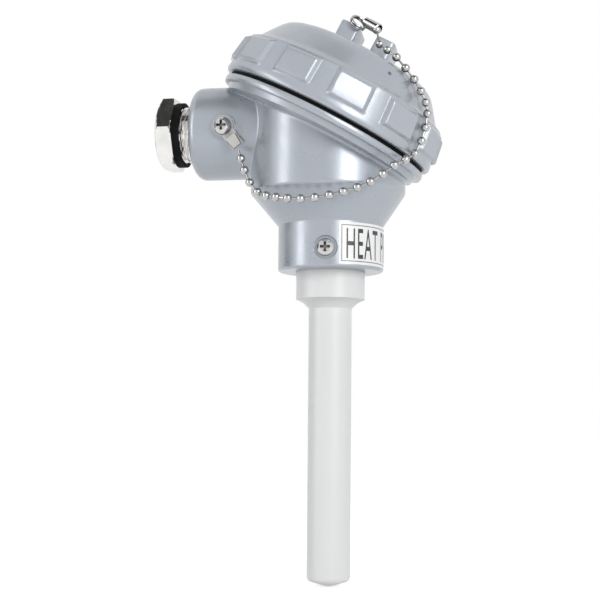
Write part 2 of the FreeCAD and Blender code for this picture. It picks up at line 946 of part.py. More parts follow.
def chain_route():
    low = float(bowl_bottom)
    rim = rim_radius
    start, end = sleeve_ends()
    ahead = (end - start).normalize()
    return [
        lug_end(),
        round_bowl(-57, 4.2, low + 11),
        round_bowl(-52.5, 3.6, low + 5.5),
        round_bowl(-48, 1.2, low - 0.9),
        round_bowl(-31, 0.4, low - 4.4),
        round_bowl(-9, 0.4, low - 6.0),
        round_bowl(10, 0.4, low - 5.0),
        round_bowl(25, 1.2, low - 2.9),
        round_bowl(40, 4.2, low + 1.2),
        round_bowl(52, 8.6, low + 7.2),
        over_cap(61.3, rim + 0.2, half_seal, 0),
        over_cap(62.2, rim + 0.3, size("block_bottom"), 5),
        over_cap(62.2, shoulder_radius + 0.8, size("shoulder_height") - 3.5, 5),
        over_cap(60.5, flank_radius + 0.4, flank_height, 35),
        over_cap(50.5, flank_top_radius + 0.2, flank_top_height + 0.1, 48),
        over_cap(38.5, dome_radius, dome_low + 0.2, 72),
        over_cap(27, size("crown_radius") + 6.5, dome_height - 0.9, 80),
        over_cap(20, size("crown_radius") + 2.2, dome_height + 1.4, 45),
        end + ahead * 0.6,
        end - ahead * 1.6,
    ]


def loop_round(centre, ahead, radius, sides=8):
    """Corners of a regular polygon square to the given direction."""
    side = ahead.cross(Vector(0, 0, 1))
    if side.Length < 0.2:
        side = ahead.cross(Vector(0, 1, 0))
    side.normalize()
    up = side.cross(ahead).normalize()
    corners = []
    for number in range(sides):
        angle = 2 * math.pi * number / sides
        corners.append(centre + (side * math.cos(angle) + up * math.sin(angle)) * radius)
    return corners


def strung(loops):
    """A closed solid of flat triangles through a row of loops."""
    faces = []

    def face(*corners):
        faces.append(Part.Face(Part.makePolygon([*corners, corners[0]])))

    for first, second in zip(loops, loops[1:]):
        for number in range(len(first)):
            after = (number + 1) % len(first)
            face(first[number], first[after], second[after])
            face(first[number], second[after], second[number])
    for loop, order in ((loops[0], -1), (loops[-1], 1)):
        middle = sum(loop, Vector()) * (1 / len(loop))
        for number in range(len(loop)):
            pair = [loop[number], loop[(number + 1) % len(loop)]]
            face(*pair[::order], middle)
    shell = Part.Shell(faces)
    solid = Part.Solid(shell)
    if solid.Volume < 0:
        solid.reverse()
    return solid


def make_chain():
    curve = Part.BSplineCurve()
    curve.interpolate(chain_route())
    edge = curve.toShape()
    count = round(edge.Length / float(size("bead_pitch")))
    pitch = edge.Length / count
    bead = float(size("bead_radius"))
    link = float(size("link_radius"))
    # (place along the chain from the bead's middle, radius)
    pole = math.sqrt(bead**2 - link**2)
    belt = [(-pole, link), (-bead * 0.72, bead * 0.72), (0, bead * 1.03), (bead * 0.72, bead * 0.72), (pole, link)]
    stations = [(0.05, link)]
    for number in range(1, count + 1):
        stations += [(number * pitch + along, radius) for along, radius in belt]
    loops = []
    for along, radius in stations:
        if along > edge.Length:
            continue
        here = edge.getParameterByLength(along)
        ahead = edge.tangentAt(here)
        loops.append(loop_round(edge.valueAt(here), ahead, radius))
    end = edge.LastParameter
    ahead = edge.tangentAt(end)
    last = count * pitch
    for along, radius in belt:
        if along > 0:
            loops.append(loop_round(edge.valueAt(end) + ahead * along, ahead, radius))
    return node(shape_part("bead_chain", strung(loops)), "bead_chain")


def make_sleeve():
    start, end = sleeve_ends()
    length = size("sleeve_length")
    outer = size("sleeve_radius")
    tube = turned(
        "sleeve_tube",
        [
            (size("sleeve_bore"), 0),
            (outer - 0.25, 0),
            (outer, 0.25),
            (outer, length - 0.25),
            (outer - 0.25, length),
            (size("sleeve_bore"), length),
        ],
    )
    fork = box("sleeve_fork", 2.0, 6, 2.6)
    place(fork, -1.0, -3, -1)
    whole = cut("chain_connector", tube, fork)
    ahead = (end - start).normalize()
    up = CAP_TURN.multVec(Vector(0, 0, 1))
    across = up.cross(ahead).normalize()
    whole.Placement = Placement(start, Rotation(across, ahead.cross(across), ahead, "ZXY"))
    return node(whole, "chain_connector")


def make_split_ring():
    """Two turns of wire hooked through the eye of the crown."""
    radius = float(size("ring_radius"))
    wire = float(size("ring_wire"))
    pitch = wire * 2 + 0.04
    turns = 1.92
    steps = 44
    loops = []
    for step in range(steps + 1):
        angle = 2 * math.pi * turns * step / steps
        height = pitch * turns * (step / steps - 0.5)
        centre = Vector(radius * math.cos(angle), radius * math.sin(angle), height)
        ahead = Vector(-math.sin(angle), math.cos(angle), 0)
        loops.append(loop_round(centre, ahead, wire, 6))
    ring = shape_part("chain_ring", strung(loops))
    lug_middle = -(size("crown_slot") / 2 + 1.5)
    middle = on_crown(lug_middle, -size("ring_place"), eye_height - 0.2 + size("ring_radius"))
    ring.Placement = Placement(middle, CAP_TURN * Rotation(Vector(1, 0, 0), 90))
    return node(ring, "chain_ring")


# terminal block with its posts, and the measuring insert
def make_terminals():
    shift = -size("bowl_shift")
    level = size("pillar_level")
    top = level + size("block_thickness")
    disc = cylinder("block_disc", inner_radius - size("block_gap"), size("block_thickness"), x=shift, z=level)
    holes = [cylinder("block_wire_hole", 5, 20, x=shift, z=level - 5)]
    for side in (-1, 1):
        away = shift + pillar_reach * side
        holes.append(cylinder(f"block_hole_{side + 1}", size("screw_radius") + slack, 20, x=away, z=level - 5))
    node(cut("terminal_block", disc, *holes), "terminal_block")

    screws = []
    for side in (-1, 1):
        screw = make_screw(f"block_screw_{side + 1}", size("block_thickness") + 5, slotted=True)
        place(screw, shift + pillar_reach * side, 0, top)
        screws.append(screw)
    node(grouped("block_screws", screws), "block_screws")

    clamps = []
    wide = size("post_width")
    for side, name in ((-1, "plus"), (1, "minus")):
        y = size("post_pitch") * (side / 2)
        post = box(f"post_{name}_block", wide, wide, size("post_height"))
        place(post, shift - wide / 2, y - wide / 2, top)
        wire_hole = cylinder(
            f"post_{name}_wire_hole",
            size("wire_radius") + fit,
            wide / 2 + 1.5,
            x=shift,
            y=y - side * 1.5 if side < 0 else y + 1.5,
            z=top + wire_height,
            turn=Rotation(Vector(1, 0, 0), 90 * side),
        )
        place(wire_hole, shift, y + side * 1.5, top + wire_height, Rotation(Vector(1, 0, 0), 90 * side))
        cable_hole = cylinder(f"post_{name}_cable_hole", 1.3, wide + 2, y=y)
        place(
            cable_hole,
            shift - wide / 2 - 1,
            y,
            top + size("post_height") * 0.62,
            Rotation(Vector(0, 1, 0), 90),
        )
        screw_hole = cylinder(f"post_{name}_screw_hole", size("screw_radius") + fit, 4.2, x=shift, y=y)
        place(screw_hole, shift, y, top + size("post_height") - 4.2)
        node(
            cut(f"terminal_post_{name}", post, wire_hole, cable_hole, screw_hole),
            f"terminal_post_{name}",
        )
        screw = make_screw(f"clamp_{name}", size("clamp_shank"), slotted=True)
        place(screw, shift, y, top + size("post_height"))
        clamps.append(screw)
    node(grouped("terminal_screws", clamps), "terminal_screws")


wire_height = 2.2


def grouped(name, pieces):
    group = doc.addObject("Part::Compound", name)
    group.Links = pieces
    return group


def make_insert():
    tip = -junction_level
    radius = size("junction_radius")
    pitch = size("wire_pitch")
    junction = turned(
        "measuring_junction",
        [
            (0, tip - 1.2),
            (radius - 0.8, tip - 1.2),
            (radius, tip - 0.4, 0.9, 1),
            (radius, tip),
            (0, tip),
        ],
    )
    node(junction, "measuring_junction")

    rod_start = tip + 0.3
    rod_length = collar_top - rod_start + 2
    rod = cylinder("rod", size("rod_radius"), rod_length, z=rod_start)
    bores = []
    for side in (-1, 1):
        y = pitch * (side / 2)
        bores.append(cylinder(f"rod_bore_{side + 1}", size("rod_bore"), rod_length + 2, y=y, z=rod_start - 1))
    node(cut("insulator_rod", rod, *bores), "insulator_rod")

    top = float(size("pillar_level") + size("block_thickness"))
    shift = -float(size("bowl_shift"))
    for side, name in ((-1, "positive"), (1, "negative")):
        y = float(pitch) * side / 2
        post = float(size("post_pitch")) * side / 2
        high = top + wire_height
        points = [
            Vector(0, y, float(collar_top) + 6),
            Vector(shift * 0.6, y, top - 6),
            Vector(shift, y * 1.1, high - 1.4),
            Vector(shift, y + side * 1.2, high),
        ]
        curve = Part.BSplineCurve()
        curve.interpolate(
            Points=points, InitialTangent=Vector(0, 0, 1), FinalTangent=Vector(0, side, 0)
        )
        start = Vector(0, y, float(tip))
        path = Part.Wire(
            [
                Part.makeLine(start, points[0]),
                curve.toShape(),
                Part.makeLine(points[-1], Vector(shift, post + side * 1.2, high)),
            ]
        )
        loop = Part.Wire(Part.makeCircle(float(size("wire_radius")), start, Vector(0, 0, 1)))
        node(shape_part(f"wire_{name}", path.makePipeShell([loop], True, True)), f"wire_{name}")


def make_label():
    radius = size("neck_radius")
    reach = size("label_length") / radius * (180 / math.pi)
    start = Rotation(Vector(0, 0, 1), -90 + float(size("label_angle")))
    outer = cylinder("label_outer", radius + size("label_thickness"), size("label_height"))
    bind(outer, Angle=reach)
    place(outer, 0, 0, size("label_level"), start)
    inner = cylinder("label_inner", radius, size("label_level") + size("label_height") + 1)
    return node(cut("label", outer, inner), "label")


make_sheath()
make_head()
make_cap()
make_seal_ring()
make_gland()
node(
    make_ring(
        "gland_seal",
        size("thread_radius") + fit,
        size("gland_seal_radius"),
        size("gland_seal_thickness"),
        gland_back,
    ),
    "gland_seal",
)
bore_floor = -boss_end + size("thread_depth")
grommet_start = bore_floor - size("grommet_length")
node(
    make_ring(
        "cable_grommet",
        size("gland_bore"),
        size("thread_radius") - 0.2,
        size("grommet_length"),
        grommet_start,
    ),
    "cable_grommet",
)
node(
    make_ring(
        "grommet_washer",
        size("gland_bore") + 0.4,
        size("thread_radius") - 0.2,
        size("washer_thickness"),
        grommet_start - size("washer_thickness"),
    ),
    "grommet_washer",
)
clamp_screw = make_screw(
    "clamp_screw", size("neck_radius") - size("clamp_sink") - size("collar_radius") - 0.05
)
place(clamp_screw, *clamp_point(0), CLAMP_TURN)
node(clamp_screw, "clamp_screw")
make_lug()
chain_screw = make_screw("chain_screw", size("pad_hole_depth"))
place(chain_screw, *lug_point(0, 0, size("pad_stand") + size("lug_thickness")), LUG_TURN)
node(chain_screw, "chain_screw")
make_chain()
make_sleeve()
make_split_ring()
make_terminals()
make_insert()
make_label()

doc.recompute()
for thing in doc.Objects:
    if "Invalid" in thing.State or "Error" in thing.State:
        raise RuntimeError(f"{thing.Name} did not build")
for thing in NODES:
    if thing.Shape.isNull() or not thing.Shape.isValid():
        raise RuntimeError(f"{thing.Label} has a bad shape")
    thing.Shape.exportStep(f"parts/{thing.Label}.step")
    print(thing.Label, len(thing.Shape.Solids), round(thing.Shape.Volume, 1))
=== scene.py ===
import math

import bmesh
import bpy
from mathutils import Matrix, Vector


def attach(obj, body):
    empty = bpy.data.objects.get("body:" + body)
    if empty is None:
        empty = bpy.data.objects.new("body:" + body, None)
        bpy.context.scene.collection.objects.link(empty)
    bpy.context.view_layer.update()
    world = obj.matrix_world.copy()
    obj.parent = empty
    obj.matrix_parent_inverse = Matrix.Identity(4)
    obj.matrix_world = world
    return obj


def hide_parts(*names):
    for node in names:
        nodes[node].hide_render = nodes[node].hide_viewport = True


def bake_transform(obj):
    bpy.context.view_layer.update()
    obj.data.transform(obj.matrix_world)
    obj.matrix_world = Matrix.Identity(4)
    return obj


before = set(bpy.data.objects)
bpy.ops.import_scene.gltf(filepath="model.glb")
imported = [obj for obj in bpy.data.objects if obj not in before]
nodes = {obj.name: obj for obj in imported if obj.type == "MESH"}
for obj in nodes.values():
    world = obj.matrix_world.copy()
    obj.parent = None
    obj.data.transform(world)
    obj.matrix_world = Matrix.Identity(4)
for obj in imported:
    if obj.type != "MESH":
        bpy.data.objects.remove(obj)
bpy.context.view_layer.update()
scene = bpy.context.scene
mm = 0.001

# sockets of the colour mix node
mixFactor, mixFirst, mixSecond, mixResult = 0, 6, 7, 2


def newMaterial(name, colour, roughness, metallic=0.0):
    mat = bpy.data.materials.new(name)
    mat.use_nodes = True
    shader = mat.node_tree.nodes["Principled BSDF"]
    shader.inputs["Base Color"].default_value = (*colour, 1)
    shader.inputs["Roughness"].default_value = roughness
    shader.inputs["Metallic"].default_value = metallic
    return mat, mat.node_tree, shader


# noise in object space, so scale counts per metre
def noise(tree, scale, detail=4, stretch=(1, 1, 1)):
    place = tree.nodes.new("ShaderNodeTexCoord")
    mapping = tree.nodes.new("ShaderNodeMapping")
    mapping.inputs["Scale"].default_value = stretch
    tex = tree.nodes.new("ShaderNodeTexNoise")
    tex.inputs["Scale"].default_value = scale
    tex.inputs["Detail"].default_value = detail
    tree.links.new(place.outputs["Object"], mapping.inputs["Vector"])
    tree.links.new(mapping.outputs["Vector"], tex.inputs["Vector"])
    return tex.outputs["Fac"]


def spread(tree, value, low, high, start=0.0, end=1.0):
    node = tree.nodes.new("ShaderNodeMapRange")
    for name, number in (("From Min", low), ("From Max", high), ("To Min", start), ("To Max", end)):
        node.inputs[name].default_value = number
    tree.links.new(value, node.inputs["Value"])
    return node.outputs["Result"]


def mixColour(tree, factor, first, second):
    node = tree.nodes.new("ShaderNodeMix")
    node.data_type = "RGBA"
    tree.links.new(factor, node.inputs[mixFactor])
    node.inputs[mixFirst].default_value = (*first, 1)
    node.inputs[mixSecond].default_value = (*second, 1)
    return node.outputs[mixResult]


# two colours that drift into each other with the noise
def cloudy(tree, texture, low, high, first, second):
    return mixColour(tree, spread(tree, texture, low, high), first, second)


# roughness that wanders between two values with the noise
def roughen(tree, shader, texture, smooth, rough):
    wander = spread(tree, texture, 0.3, 0.7, smooth, rough)
    tree.links.new(wander, shader.inputs["Roughness"])


def bump(tree, shader, height, distance, edge=0.0):
    node = tree.nodes.new("ShaderNodeBump")
    if edge:  # rounds sharp edges in the shading only
        soft = tree.nodes.new("ShaderNodeBevel")
        soft.samples = 6
        soft.inputs["Radius"].default_value = edge
        tree.links.new(soft.outputs["Normal"], node.inputs["Normal"])
    node.inputs["Distance"].default_value = distance
    node.inputs["Strength"].default_value = 1.0
    tree.links.new(height, node.inputs["Height"])
    tree.links.new(node.outputs["Normal"], shader.inputs["Normal"])


def makePaint():
    look = {
        "colour": (0.41, 0.44, 0.485),
        "dull": (0.39, 0.42, 0.465),
        "metallic": 0.3,
        "roughness": (0.26, 0.36),
        "cloudScale": 45,
        "roughScale": 150,
        "peelScale": 420,
        "peelDepth": 0.02 * mm,
        "edge": 0.5 * mm,
        "coat": 0.25,
        "coatRoughness": 0.14,
    }
    mat, tree, shader = newMaterial("silverPaint", look["colour"], 0.3, look["metallic"])
    colour = cloudy(tree, noise(tree, look["cloudScale"], 3), 0.35, 0.65, look["colour"], look["dull"])
    tree.links.new(colour, shader.inputs["Base Color"])
    roughen(tree, shader, noise(tree, look["roughScale"]), *look["roughness"])
    bump(tree, shader, noise(tree, look["peelScale"], 2), look["peelDepth"], look["edge"])
    shader.inputs["Coat Weight"].default_value = look["coat"]
    shader.inputs["Coat Roughness"].default_value = look["coatRoughness"]
    return mat


def makeCeramic():
    look = {
        "colour": (0.78, 0.78, 0.775),
        "dull": (0.75, 0.75, 0.745),
        "roughness": (0.34, 0.48),
        "cloudScale": 40,
        "cloudStretch": (1, 1, 0.3),
        "roughScale": 300,
        "grainScale": 900,
        "grainDepth": 0.02 * mm,
        "glowThrough": 0.1,
        "glowReach": 2 * mm,
    }
    mat, tree, shader = newMaterial("whiteCeramic", look["colour"], 0.4)
    cloud = noise(tree, look["cloudScale"], 3, look["cloudStretch"])
    tree.links.new(cloudy(tree, cloud, 0.3, 0.7, look["colour"], look["dull"]), shader.inputs["Base Color"])
    roughen(tree, shader, noise(tree, look["roughScale"]), *look["roughness"])
    bump(tree, shader, noise(tree, look["grainScale"], 3), look["grainDepth"])
    shader.inputs["Subsurface Weight"].default_value = look["glowThrough"]
    shader.inputs["Subsurface Radius"].default_value = (look["glowReach"],) * 3
    return mat


metalLook = {
    "dullShare": 0.86,
    "cloudScale": 180,
    "roughScale": 500,
    "grainScale": 900,
    # colour and occlusion range of the shade painted into the metal's crevices
    "paintedShadeColour": (0.03, 0.03, 0.032),
    "paintedShadeRange": (0.35, 0.9),
}


# the last argument is how far off, in metres, a near surface still darkens the metal's colour, shade painted
# into its crevices
def makeMetal(name, colour, roughness, grain=0.01 * mm, stretch=(1, 1, 1), grimeAndShade=0.0):
    mat, tree, shader = newMaterial(name, colour, roughness[0], 1.0)
    dull = tuple(part * metalLook["dullShare"] for part in colour)
    shade = cloudy(tree, noise(tree, metalLook["cloudScale"]), 0.35, 0.7, colour, dull)
    if grimeAndShade:  # painted shade: the colour darkens in recesses, seats and the gaps between beads
        near = tree.nodes.new("ShaderNodeAmbientOcclusion")
        near.samples = 8
        near.inputs["Distance"].default_value = grimeAndShade
        openness = spread(tree, near.outputs["AO"], *metalLook["paintedShadeRange"])
        paintedShade = mixColour(tree, openness, metalLook["paintedShadeColour"], colour)
        tree.links.new(shade, paintedShade.node.inputs[mixSecond])
        shade = paintedShade
    tree.links.new(shade, shader.inputs["Base Color"])
    roughen(tree, shader, noise(tree, metalLook["roughScale"], 4, stretch), *roughness)
    bump(tree, shader, noise(tree, metalLook["grainScale"], 3, stretch), grain)
    return mat


def makeRubber():
    look = {
        "colour": (0.004, 0.004, 0.0045),
        "shine": 0.12,
        "roughness": (0.6, 0.85),
        "roughScale": 300,
        "grainScale": 1200,
        "grainDepth": 0.03 * mm,
    }
    mat, tree, shader = newMaterial("blackRubber", look["colour"], 0.7)
    shader.inputs["Specular IOR Level"].default_value = look["shine"]
    roughen(tree, shader, noise(tree, look["roughScale"]), *look["roughness"])
    bump(tree, shader, noise(tree, look["grainScale"], 3), look["grainDepth"])
    return mat


filmLook = {"smoother": 0.06, "rougher": 0.08, "roughScale": 400, "grainScale": 700, "grainDepth": 0.012 * mm}


# plain dull finish for print, grime and the terminal block
def makeFilm(name, colour, roughness=0.35):
    mat, tree, shader = newMaterial(name, colour, roughness)
    smooth = roughness - filmLook["smoother"]
    rough = roughness + filmLook["rougher"]
    roughen(tree, shader, noise(tree, filmLook["roughScale"]), smooth, rough)
    bump(tree, shader, noise(tree, filmLook["grainScale"], 2), filmLook["grainDepth"])
    return mat


paint = makePaint()
ceramic = makeCeramic()
nickel = makeMetal("nickel", (0.74, 0.73, 0.71), (0.1, 0.2))
# the chain, its ring and its lug get darker copies of the nickel: painted shade standing in for the darker
# reflections on them
beadNickelPaintedShade = makeMetal("beadNickelPaintedShade", (0.47, 0.47, 0.465), (0.05, 0.12), grimeAndShade=3 * mm)
lugNickelPaintedShade = makeMetal("lugNickelPaintedShade", (0.58, 0.575, 0.56), (0.2, 0.36), 0.02 * mm, (1, 1, 6), grimeAndShade=2 * mm)
zinc = makeMetal("zinc", (0.62, 0.62, 0.61), (0.14, 0.28), grimeAndShade=2.2 * mm)
brass = makeMetal("brass", (0.78, 0.60, 0.30), (0.25, 0.4), 0.02 * mm)
alloyDark = makeMetal("alloyDark", (0.42, 0.40, 0.38), (0.35, 0.5), 0.02 * mm)
alloyPale = makeMetal("alloyPale", (0.55, 0.54, 0.52), (0.3, 0.45), 0.02 * mm)
steatite = makeFilm("steatite", (0.78, 0.76, 0.70), 0.55)
rubber = makeRubber()
film = makeFilm("labelFilm", (0.88, 0.88, 0.88))

finishes = {
    "head_body": paint,
    "cap": paint,
    "cap_seal": rubber,
    "sheath": ceramic,
    "gland_nut": nickel,
    "gland_seal": rubber,
    "cable_grommet": rubber,
    "grommet_washer": zinc,
    "clamp_screw": zinc,
    "chain_lug": lugNickelPaintedShade,
    "chain_screw": zinc,
    "bead_chain": beadNickelPaintedShade,
    "chain_connector": beadNickelPaintedShade,
    "chain_ring": beadNickelPaintedShade,
    "terminal_block": steatite,
    "block_screws": zinc,
    "terminal_post_plus": brass,
    "terminal_post_minus": brass,
    "terminal_screws": zinc,
    "measuring_junction": alloyPale,
    "insulator_rod": ceramic,
    "wire_positive": alloyPale,
    "wire_negative": alloyDark,
    "label": film,
}
for name, mat in finishes.items():
    nodes[name].data.materials.clear()
    nodes[name].data.materials.append(mat)
print("finishes on the solids")


def newPiece(name, verts, faces, mat, creaseAngle=35):
    mesh = bpy.data.meshes.new(name)
    mesh.from_pydata([tuple(v) for v in verts], [], faces)
    mesh.update()
    mesh.shade_smooth()
    mesh.set_sharp_from_angle(angle=math.radians(creaseAngle))
    mesh.materials.append(mat)
    piece = bpy.data.objects.new(name, mesh)
    scene.collection.objects.link(piece)
    return piece


# skin over a row of loops, each with the same number of points
def wrapGrid(rows, closed=True):
    verts = [point for row in rows for point in row]
    count = len(rows[0])
    faces = []
    last = len(rows) if closed else len(rows) - 1
    for i in range(last):
        j = (i + 1) % len(rows)
        for k in range(count):
            n = (k + 1) % count
            faces.append((i * count + k, i * count + n, j * count + n, j * count + k))
    return verts, faces


# adds an open skin to a mesh in the making and tells where its points begin
def addGrid(verts, faces, rows):
    first = len(verts)
    gridVerts, gridFaces = wrapGrid(rows, closed=False)
    verts += gridVerts
    faces += [tuple(first + n for n in face) for face in gridFaces]
    return first


# radius is a number or a function of the angle
def ringRow(place, count, radius, side, up):
    row = []
    for k in range(count):
        angle = 2 * math.pi * k / count
        reach = radius(angle) if callable(radius) else radius
        row.append(place + side * (reach * math.cos(angle)) + up * (reach * math.sin(angle)))
    return row


# two directions square to the axis and to each other
def squareTo(axis):
    side = axis.cross(Vector((0, 0, 1)))
    if side.length < 0.2:
        side = axis.cross(Vector((0, 1, 0)))
    side.normalize()
    return side, axis.cross(side)


# where the cap sits: middle of its seat, lean of its axis, turn about it
capSizes = {"place": Vector((-2.1, 0, 65.5)) * mm, "tilt": 27.5, "clock": 2.7}
capLean = Matrix.Rotation(math.radians(capSizes["tilt"]), 3, "Y")
capTurn = capLean @ Matrix.Rotation(math.radians(capSizes["clock"]), 3, "Z")
capAxis = capTurn @ Vector((0, 0, 1))


# millimetres in the cap's own axes, y runs along the crown slot
def onCrown(x, y, z):
    return capSizes["place"] + capTurn @ (Vector((x, y, z)) * mm)


def heightOnCap(point):
    return (point - capSizes["place"]).dot(capAxis)


chainSizes = {
    "bead": 1.5 * mm,
    "beadBelts": 10,
    "beadPoints": 16,
    "beadEnd": 78,  # degrees from a bead's girth to the flat where the link runs in
    "link": 0.36 * mm,
    "linkPoints": 8,
    "leadIn": 3.2 * mm,  # link that shows between the lug and the first bead
    "lug": Vector((-30, -18, 56)) * mm,
    "longestBeadEdge": 1.8 * mm,
    "fewestBeadPoints": 20,
    "settle": 2.3 * mm,  # how far the beads come down onto the dome
    "settleFrom": 16 * mm,
    "settleRise": 9 * mm,
    "settleEnd": 4,  # beads before the sleeve that come down less and less
    "rimHeight": -1 * mm,
}


def addBall(verts, faces, centre, radius, axis):
    belts, count, end = chainSizes["beadBelts"], chainSizes["beadPoints"], chainSizes["beadEnd"]
    side, up = squareTo(axis)
    rows = []
    for belt in range(belts + 1):
        lean = math.radians(-end + 2 * end * belt / belts)
        place = centre + axis * (radius * math.sin(lean))
        rows.append(ringRow(place, count, radius * math.cos(lean), side, up))
    first = addGrid(verts, faces, rows)
    faces.append(tuple(first + k for k in reversed(range(count))))
    faces.append(tuple(first + belts * count + k for k in range(count)))


def addLink(verts, faces, start, end):
    side, up = squareTo((end - start).normalized())
    rows = [ringRow(place, chainSizes["linkPoints"], chainSizes["link"], side, up) for place in (start, end)]
    addGrid(verts, faces, rows)


# bead middles from the chain's own mesh, sorted from the lug to the sleeve
def beadMiddles():
    mesh = bmesh.new()
    mesh.from_mesh(nodes["bead_chain"].data)
    bmesh.ops.remove_doubles(mesh, verts=mesh.verts, dist=1e-6)
    longest = chainSizes["longestBeadEdge"]
    links = [f for f in mesh.faces if max(e.calc_length() for e in f.edges) > longest]
    bmesh.ops.delete(mesh, geom=links, context="FACES_ONLY")
    middles = []
    left = set(v for v in mesh.verts if v.link_faces)
    while left:
        queue = [left.pop()]
        island = set()
        while queue:
            vert = queue.pop()
            island.add(vert)
            for edge in vert.link_edges:
                other = edge.other_vert(vert)
                if edge.link_faces and other in left:
                    left.discard(other)
                    queue.append(other)
        if len(island) > chainSizes["fewestBeadPoints"]:
            middles.append(sum((v.co for v in island), Vector()) / len(island))
    mesh.free()
    here = chainSizes["lug"]
    row = []
    while middles:
        here = min(middles, key=lambda p: (p - here).length)
        middles.remove(here)
        row.append(here)
    return row


# lets the beads down onto the dome, from the shoulder's height up
def settled(row):
    placed = []
    for k, bead in enumerate(row):
        share = (heightOnCap(bead) - chainSizes["settleFrom"]) / chainSizes["settleRise"]
        share = min(1, max(0, share))
        share *= min(1, (len(row) - 1 - k) / chainSizes["settleEnd"])
        placed.append(bead - capAxis * chainSizes["settle"] * share)
    return placed


def makeChain():
    row = settled(beadMiddles())
    verts, faces = [], []
    for k, middle in enumerate(row):
        ahead = (row[min(k + 1, len(row) - 1)] - row[max(k - 1, 0)]).normalized()
        addBall(verts, faces, middle, chainSizes["bead"], ahead)
        if k:
            addLink(verts, faces, row[k - 1], middle)
    start = row[0] + (row[0] - row[1]).normalized() * chainSizes["leadIn"]
    addLink(verts, faces, start, row[0])
    chain = newPiece("beadChain", verts, faces, beadNickelPaintedShade, 60)
    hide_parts("bead_chain")
    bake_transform(chain)
    print(f"bead chain with {len(row)} beads")


makeChain()


glandSizes = {
    "back": -55.5 * mm,
    "level": 63.3 * mm,
    "flats": 24.0 * mm,
    "length": 6.2 * mm,
    "chamfer": 1.5 * mm,
    "face": 11.4 * mm,
    "faceEase": 0.02 * mm,
    "backEdge": 0.5 * mm,
    "backSlope": 2.4,
    "headRows": (1.0, 0.96, 0.92, 0.88, 0.84, 0.8, 0.76, 0.6, 0.3, 0.1, 0.05, 0.0),
    "bore": 5.5 * mm,
    "thread": 10.0 * mm,
    "threadDepth": 0.85 * mm,
    "threadFlank": 1.6,
    "threadRoot": 0.25,
    "pitch": 1.5 * mm,
    "rowsPerTurn": 8,
    "shank": 15.4 * mm,
    "runOut": 0.8 * mm,
    "clock": 31.8,
    "around": 144,
}


def makeGland():
    g = glandSizes
    out = Vector((-1, 0, 0))
    turn = Matrix.Rotation(math.radians(g["clock"]), 3, out)
    side = turn @ Vector((0, 0, 1))
    up = turn @ Vector((0, 1, 0))
    corner = g["flats"] / math.sqrt(3)

    def place(along):
        return Vector((g["back"], 0, g["level"])) + out * along

    def hexRadius(angle):
        wrapped = (angle + math.pi / 6) % (math.pi / 3) - math.pi / 6
        return g["flats"] / 2 / math.cos(math.pi / 6 - abs(wrapped))

    # hexagon, turned down to a cone at its face and a little at its back
    def headRow(along):
        fromTop = g["length"] - along
        cone = g["face"] + (corner - g["face"]) * min(1, fromTop / g["chamfer"]) + g["faceEase"]
        low = g["flats"] / 2 + g["backEdge"] + max(0, along) * g["backSlope"]
        return ringRow(place(along), g["around"], lambda a: min(hexRadius(a), cone, low), side, up)

    # the thread fades out at the shank's end
    def shankRow(along):
        fade = min(1, (g["shank"] + along) / g["runOut"])

        def threadRadius(angle):
            phase = (along / g["pitch"] + angle / (2 * math.pi)) % 1
            wave = min(1, max(0, g["threadFlank"] * abs(2 * phase - 1) - g["threadRoot"]))
            return g["thread"] - g["threadDepth"] * (1 - wave * fade)

        return ringRow(place(along), g["around"], threadRadius, side, up)

    rows = [ringRow(place(g["length"]), g["around"], g["bore"], side, up)]
    rows += [headRow(g["length"] * share) for share in g["headRows"]]
    count = int(g["shank"] / g["pitch"] * g["rowsPerTurn"])
    rows += [shankRow(-g["shank"] * step / count) for step in range(count + 1)]
    rows.append(ringRow(place(-g["shank"]), g["around"], g["bore"], side, up))
    verts, faces = wrapGrid(rows)
    gland = newPiece("glandNut", verts, faces, nickel, 28)
    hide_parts("gland_nut")
    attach(gland, "gland_body")
    print("gland with its thread")


makeGland()


capShape = {
    "outer": [  # (radius, height) from the rim up to the foot of the crown
        (35.3, 0.72), (38.6, 0.72), (39.4, 0.95), (39.85, 1.6), (39.9, 2.2), (39.72, 3.4), (39.57, 4.2),
        (39.54, 4.4), (39.45, 5.0), (39.39, 5.35), (39.36, 5.6), (38.9, 8.6), (38.44, 11.6), (38.24, 12.9),
        (38.2, 13.15), (38.13, 13.65), (38.07, 14.05), (38.04, 14.25), (37.98, 14.6), (37.7, 14.95),
        (36.9, 15.35), (36.0, 15.8), (35.35, 16.3), (34.9, 16.8), (34.4, 17.5), (33.0, 19.4), (31.3, 21.7),
        (30.3, 23.0), (29.4, 24.0), (28.3, 24.9), (26.9, 25.6), (25.2, 26.15), (22.0, 26.75), (17.0, 27.4),
        (12.0, 27.85), (6.0, 28.1), (0.6, 28.15),
    ],
    "inner": [(0.6, 25.0), (9.0, 24.8), (25.0, 22.6), (31.5, 14.6), (34.75, 12.4), (34.75, 1.0)],
    "padCount": 12,
    "padFirst": 15.0,
    "padHeights": (4.3, 5.4, 13.1, 14.2),  # foot, face, face, foot
    "padAngles": (8.2, 10.6),  # half of the face, half of the foot
    "padStand": 1.05,
    "skirtTop": 14.6,  # pads stand only below this height
    "skirtInside": 38,  # and only outside this radius
}
crownShape = {
    "inner": 3.35,
    "outer": 10.5,
    "reach": 8.8,
    "low": 26.8,
    "top": 34.9,
    "corner": 1.5,
    "slotCorner": 0.9,
    "cornerSteps": 5,
    "edge": 0.55,
    "edgeMiddle": (0.2, 0.12),  # below the top, in from the side
}


def softStep(value):
    value = min(1, max(0, value))
    return 0.5 * value + 0.5 * value * value * (3 - 2 * value)


